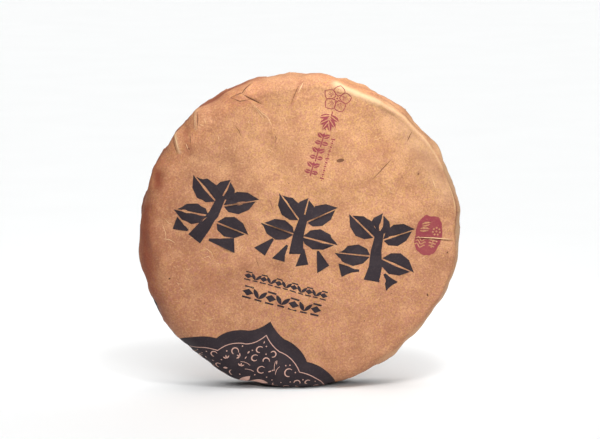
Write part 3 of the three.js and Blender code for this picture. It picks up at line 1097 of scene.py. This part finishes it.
class Finish:
    """A material with its nodes, made and joined by short calls."""

    def __init__(self, name):
        self.material = bpy.data.materials.new(name)
        self.material.use_nodes = True
        self.tree = self.material.node_tree
        self.shader = self.tree.nodes["Principled BSDF"]
        self.place = self.node("ShaderNodeTexCoord").outputs["Object"]

    def node(self, kind, settings=None, **inputs):
        node = self.tree.nodes.new(kind)
        for key, value in (settings or {}).items():
            setattr(node, key, value)
        for key, value in inputs.items():
            self.feed(node.inputs[key.replace("_", " ")], value)
        return node

    def feed(self, socket, value):
        if isinstance(value, bpy.types.NodeSocket):
            self.tree.links.new(value, socket)
        else:
            socket.default_value = value

    def noise(self, size_mm, detail=3.0, stretch=(1, 1, 1), roughness=0.55):
        """Noise whose grains are about this large."""
        scaled = self.node("ShaderNodeMapping", Vector=self.place, Scale=stretch)
        made = self.node("ShaderNodeTexNoise", Vector=scaled.outputs["Vector"], Detail=detail)
        self.feed(made.inputs["Scale"], 1 / (size_mm * MM))
        self.feed(made.inputs["Roughness"], roughness)
        return made.outputs["Fac"]

    def ramp(self, value, low, high, to_low=0.0, to_high=1.0):
        made = self.node("ShaderNodeMapRange", Value=value)
        for key, number in (("From Min", low), ("From Max", high), ("To Min", to_low), ("To Max", to_high)):
            self.feed(made.inputs[key], number)
        return made.outputs["Result"]


# %% The kraft paper
GOLDEN = (180, 135, 91)
PINKISH = (177, 122, 90)
# the colour of the painted shade towards the lower left
LOW_LEFT_SHADE = (149, 79, 57)
YELLOWER = (186, 139, 74)
ROSIER = (169, 110, 97)
CLOUDED = (160, 108, 77)
FELT_DARK = (134, 88, 63)
FELT_PALE = (213, 162, 120)
WARMED = (200, 112, 68)
PALER = (196, 148, 106)
# the colour of painted shade
SHADE_BROWN = (120, 49, 29)
# the pale of the crests: rubbed wear and painted sheen
SHEEN_AND_RUB_PALE = (212, 184, 145)


def mix_colours(finish, low, high, share):
    node = finish.node("ShaderNodeMix", {"data_type": "RGBA"})
    finish.feed(node.inputs[0], share)
    finish.feed(node.inputs[6], low)
    finish.feed(node.inputs[7], high)
    return node.outputs[2]


def kraft_paper():
    finish = Finish("kraft paper")
    felt = finish.noise(0.42, detail=3, roughness=0.7)
    fleck = finish.noise(0.6, detail=2, roughness=0.6)
    hue = finish.noise(0.8, detail=4, roughness=0.7)
    blotch = finish.noise(5.0, detail=3)
    cloud = finish.noise(22.0, detail=2)
    tone = {}
    for name in ("sheen_and_rub", "painted_shade", "low_left_shade", "pinkish", "warmed"):
        tone[name] = finish.node("ShaderNodeAttribute", {"attribute_name": name}).outputs["Fac"]
    colour = mix_colours(finish, linear(*GOLDEN), linear(*PINKISH), tone["pinkish"])
    # painted shade: darker towards the lower left
    colour = mix_colours(finish, colour, linear(*LOW_LEFT_SHADE), tone["low_left_shade"])
    colour = mix_colours(finish, colour, linear(*WARMED), tone["warmed"])
    colour = mix_colours(finish, colour, linear(*YELLOWER), finish.ramp(hue, 0.44, 0.70, 0, 0.9))
    colour = mix_colours(finish, colour, linear(*ROSIER), finish.ramp(hue, 0.56, 0.30, 0, 0.9))
    colour = mix_colours(finish, colour, linear(*CLOUDED), finish.ramp(cloud, 0.42, 0.66, 0, 0.62))
    colour = mix_colours(finish, colour, linear(*CLOUDED), finish.ramp(blotch, 0.48, 0.70, 0, 0.6))
    colour = mix_colours(finish, colour, linear(*PALER), finish.ramp(blotch, 0.52, 0.30, 0, 0.55))
    colour = mix_colours(finish, colour, linear(*FELT_DARK), finish.ramp(felt, 0.54, 0.28, 0, 0.88))
    colour = mix_colours(finish, colour, linear(*FELT_PALE), finish.ramp(fleck, 0.46, 0.76, 0, 0.5))
    # painted shade in hollows, on the left shoulder and on the turning edge
    colour = mix_colours(finish, colour, linear(*SHADE_BROWN), tone["painted_shade"])
    # painted highlights and wear on the crests
    colour = mix_colours(finish, colour, linear(*SHEEN_AND_RUB_PALE), tone["sheen_and_rub"])
    finish.feed(finish.shader.inputs["Base Color"], colour)
    finish.feed(finish.shader.inputs["Roughness"], finish.ramp(felt, 0.3, 0.7, 0.62, 0.8))
    crinkle = finish.noise(3.4, detail=3)
    soft = finish.node("ShaderNodeBump", Height=crinkle, Strength=0.7, Distance=0.0007)
    bump = finish.node("ShaderNodeBump", Height=felt, Strength=0.5, Distance=0.00012)
    finish.feed(bump.inputs["Normal"], soft.outputs["Normal"])
    finish.feed(finish.shader.inputs["Normal"], bump.outputs["Normal"])
    finish.shader.inputs["Specular IOR Level"].default_value = 0.35
    return finish.material


def printing_ink(name, deep, worn):
    """Matt ink that thins a little where the paper's felt stands up."""
    finish = Finish(name)
    felt = finish.noise(0.7, detail=3, roughness=0.7)
    cloud = finish.noise(5.0, detail=2)
    colour = mix_colours(finish, deep, worn, finish.ramp(felt, 0.5, 0.72, 0, 0.7))
    colour = mix_colours(finish, colour, worn, finish.ramp(cloud, 0.5, 0.8, 0, 0.4))
    finish.feed(finish.shader.inputs["Base Color"], colour)
    finish.feed(finish.shader.inputs["Roughness"], finish.ramp(felt, 0.3, 0.7, 0.6, 0.8))
    bump = finish.node("ShaderNodeBump", Height=felt, Strength=0.4, Distance=0.00012)
    finish.feed(finish.shader.inputs["Normal"], bump.outputs["Normal"])
    finish.shader.inputs["Specular IOR Level"].default_value = 0.25
    return finish.material


paper = kraft_paper()
dark_ink = printing_ink("blue-black ink", linear(38, 29, 35), linear(62, 51, 53))
plum_ink = printing_ink("plum red ink", linear(132, 54, 62), linear(150, 84, 74))
# painted shade of the creases, and the brown of the bark specks
crease_shade_and_bark_brown = printing_ink("painted crease shade and bark brown", linear(100, 62, 42), linear(120, 80, 56))
mark_pale = printing_ink("pale marks of the medallion", linear(198, 158, 144), linear(180, 140, 126))
# painted highlights and wear on crests, and pale fibres
highlight_wear_and_fibre_pale = printing_ink("crest highlights, wear and fibres", linear(210, 176, 134), linear(192, 154, 114))
wrap.data.materials.append(paper)
# The two tones of worn paper are the painted crease shade and the painted crest highlights, partly wear.
print("paper, two inks, the medallion's pale tone and two tones of worn paper")

# %% [markdown]
# The floor is a plain white sheet that runs far past the picture's edges. Three wide, soft suns
# keep it evenly white: two from the front light the face, and one from behind draws the soft shadow
# before the cake. Two small lights in front make the top of the face and its lower right brighter.
# Beyond the floor the camera sees plain white, which gives no light to the cake.

# %% Floor and lights
FLOOR_SIZE = 12.0


def floor_finish():
    finish = Finish("white floor")
    cloud = finish.noise(60.0, detail=1)
    colour = mix_colours(finish, linear(246, 247, 247), linear(249, 250, 250), cloud)
    finish.feed(finish.shader.inputs["Base Color"], colour)
    finish.shader.inputs["Roughness"].default_value = 0.9
    finish.shader.inputs["Specular IOR Level"].default_value = 0.1
    return finish.material


half = FLOOR_SIZE / 2 / MM
floor_corners = [(-half, -half, 0), (half, -half, 0), (half, half, 0), (-half, half, 0)]
floor = new_piece("floor", floor_corners, [[0, 1, 2, 3]])
floor.data.materials.append(floor_finish())


def soft_light(name, place, target, size, power, spread):
    data = bpy.data.lights.new(name, "AREA")
    data.shape = "DISK"
    data.size = size
    data.energy = power
    data.spread = math.radians(spread)
    light = bpy.data.objects.new(name, data)
    light.location = place
    light.rotation_euler = (Vector(place) - Vector(target)).to_track_quat("Z", "Y").to_euler()
    scene.collection.objects.link(light)


KEYS = [  # name, place, target, size, power and spread
    ("key from above", (0.035, -0.14, 0.26), (0.016, -0.01, 0.122), 0.09, 0.051, 50),
    ("key from the front", (0.10, -0.34, 0.16), (0.018, -0.01, 0.048), 0.08, 0.012, 28),
]
for key in KEYS:
    soft_light(*key)

SUNS = [  # name, turn, rise, energy and how wide it is
    ("high sun", -15, 70, 1.12, 60),
    ("low sun", 0, 36, 1.14, 50),
    ("sun from behind", 170, 70, 1.72, 60),
]
for name, turn, rise, energy, wide in SUNS:
    sun = bpy.data.objects.new(name, bpy.data.lights.new(name, "SUN"))
    sun.data.energy = energy
    sun.data.angle = math.radians(wide)
    sun.rotation_euler = direction(turn, rise).to_track_quat("Z", "Y").to_euler()
    scene.collection.objects.link(sun)

world = bpy.data.worlds.new("studio")
world.use_nodes = True
world.node_tree.nodes["Background"].inputs["Color"].default_value = (1, 1, 1, 1)
rays = world.node_tree.nodes.new("ShaderNodeLightPath")
seen = world.node_tree.nodes.new("ShaderNodeMapRange")
seen.inputs["To Min"].default_value = 0.0
world.node_tree.links.new(rays.outputs["Is Camera Ray"], seen.inputs["Value"])
world.node_tree.links.new(seen.outputs["Result"], world.node_tree.nodes["Background"].inputs["Strength"])
scene.world = world
scene.view_settings.view_transform = "Standard"
print(len(KEYS), "key lights and", len(SUNS), "wide suns over a white floor")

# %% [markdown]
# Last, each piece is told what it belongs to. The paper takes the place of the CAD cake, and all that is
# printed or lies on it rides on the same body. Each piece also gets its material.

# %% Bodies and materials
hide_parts(CAKE)
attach(wrap, "root")
dark_pieces = [medallion_piece, sprig_left, sprig_middle, sprig_right, row_upper, row_lower]
plum_pieces = [stamp, blossom_piece, garland_piece]
for pieces, material, slot in (
    (dark_pieces, dark_ink, "dark_ink"),
    (plum_pieces, plum_ink, "plum_ink"),
    ([medallion_lines], mark_pale, "kraft_paper"),
    # painted crease shade, and bark specks
    ([crease_shade_marks, bark_specks], crease_shade_and_bark_brown, "kraft_paper"),
    # painted crest highlights with wear, and pale fibres
    ([crest_highlight_and_wear_marks, loose_fibres], highlight_wear_and_fibre_pale, "kraft_paper"),
):
    for piece in pieces:
        piece.data.materials.append(material)
        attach(piece, "root")
